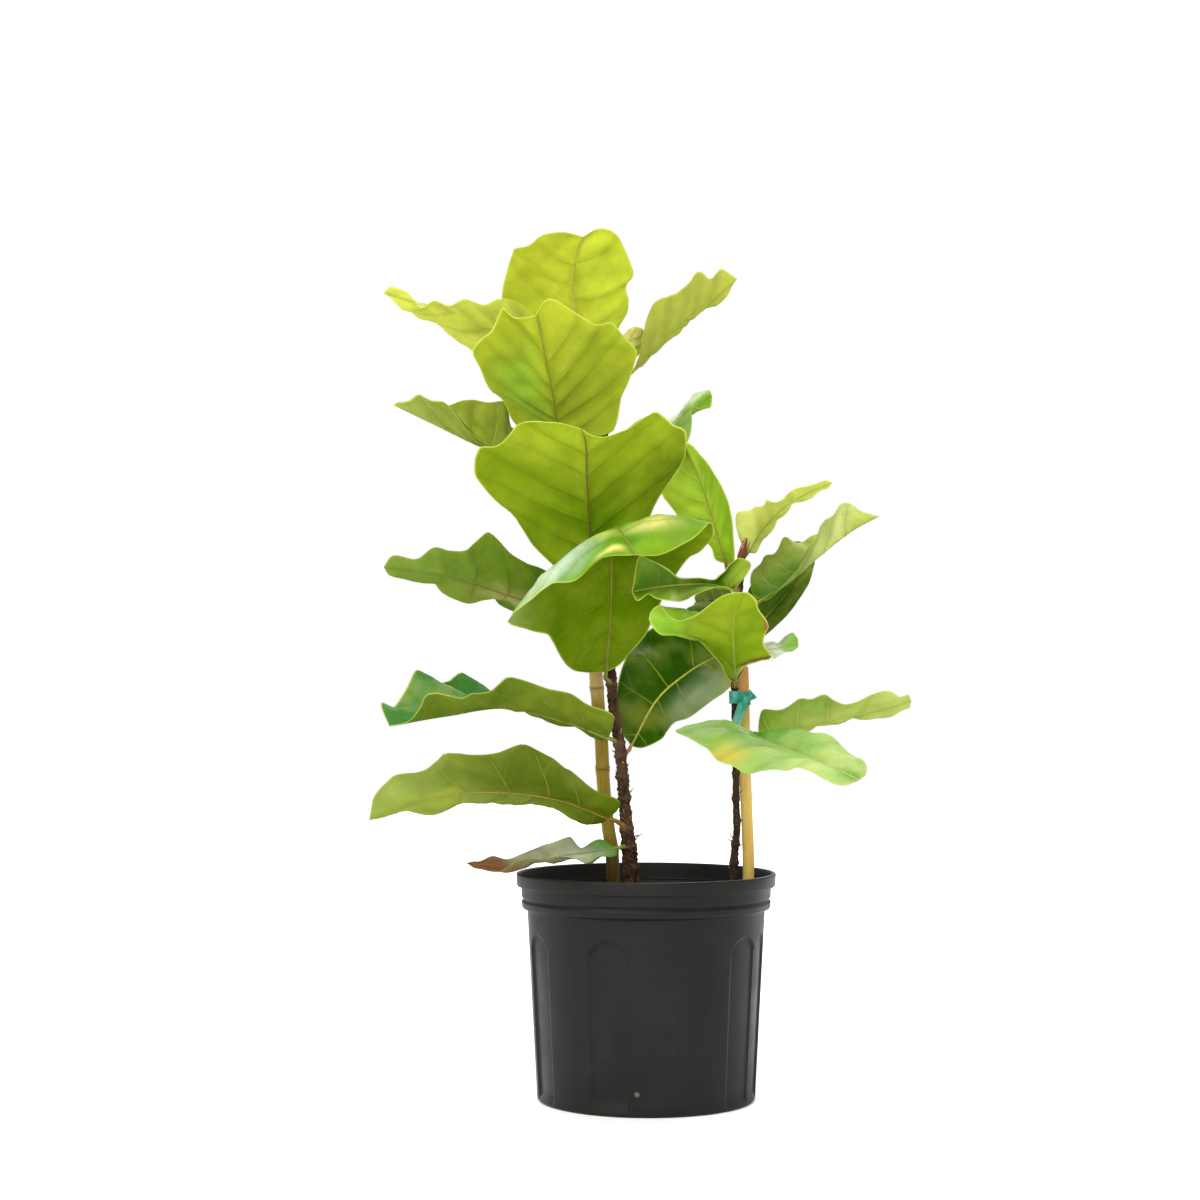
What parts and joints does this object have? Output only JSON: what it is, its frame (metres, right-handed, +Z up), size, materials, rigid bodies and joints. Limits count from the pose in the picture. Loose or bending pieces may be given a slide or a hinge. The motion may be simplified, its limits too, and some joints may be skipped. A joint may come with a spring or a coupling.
{
  "type": "potted fiddle leaf fig",
  "caption": "Young fiddle leaf fig in a round black nursery pot: large waved leathery leaves on slim woody stems tied to stakes.",
  "frame": {"origin": "centre of the pot's flat underside, on the surface that the pot stands on", "axes": "+Z up along the pot's axis; -Y towards the front, +X to the viewer's right"},
  "size_m": [0.5339, 0.4256, 0.883],
  "materials": {
    "pot": "satin black moulded",
    "soil": "moist, crumbly, with bark chips",
    "bark": "rough, ringed by old leaf scars",
    "cane": "smooth natural cane",
    "slat": "planed, matt",
    "tie": "thin translucent tape",
    "bud": "dry papery sheath",
    "leaf": "leathery, glossy above, matt below",
    "leaf_young": "leathery, young and light",
    "leaf_deep": "leathery, glossy deep green",
    "leaf_pale": "leathery, pale underside",
    "leaf_dry": "ageing, curled and drying"
  },
  "bodies": {
    "root": {"pot": "pot", "soil": "soil", "main_stem": "bark", "side_stem": "bark", "left_stake": "cane", "right_stake": "slat", "right_tie": "tie", "left_tie": "tie", "side_bud": "bud", "leaf_top": "leaf_young", "leaf_upper_front": "leaf_young", "leaf_middle_front": "leaf", "leaf_lower_front": "leaf", "leaf_left_top": "leaf_young", "leaf_left_upper": "leaf", "leaf_left_middle": "leaf", "leaf_left_low": "leaf", "leaf_left_lower": "leaf", "leaf_lowest": "leaf_dry", "leaf_right_top": "leaf_young", "leaf_top_young": "leaf_young", "leaf_right_back": "leaf_deep", "leaf_between": "leaf_deep", "leaf_back_middle": "leaf", "leaf_back_top": "leaf_young", "side_leaf_up_left": "leaf", "side_leaf_up_right": "leaf_pale", "side_leaf_right": "leaf", "side_leaf_right_back": "leaf_deep", "side_leaf_left": "leaf", "side_leaf_front": "leaf_pale", "side_leaf_right_small": "leaf_pale", "side_leaf_left_back": "leaf_deep", "side_leaf_low_right": "leaf_pale", "side_leaf_low_front": "leaf_pale"}
  },
  "joints": []
}
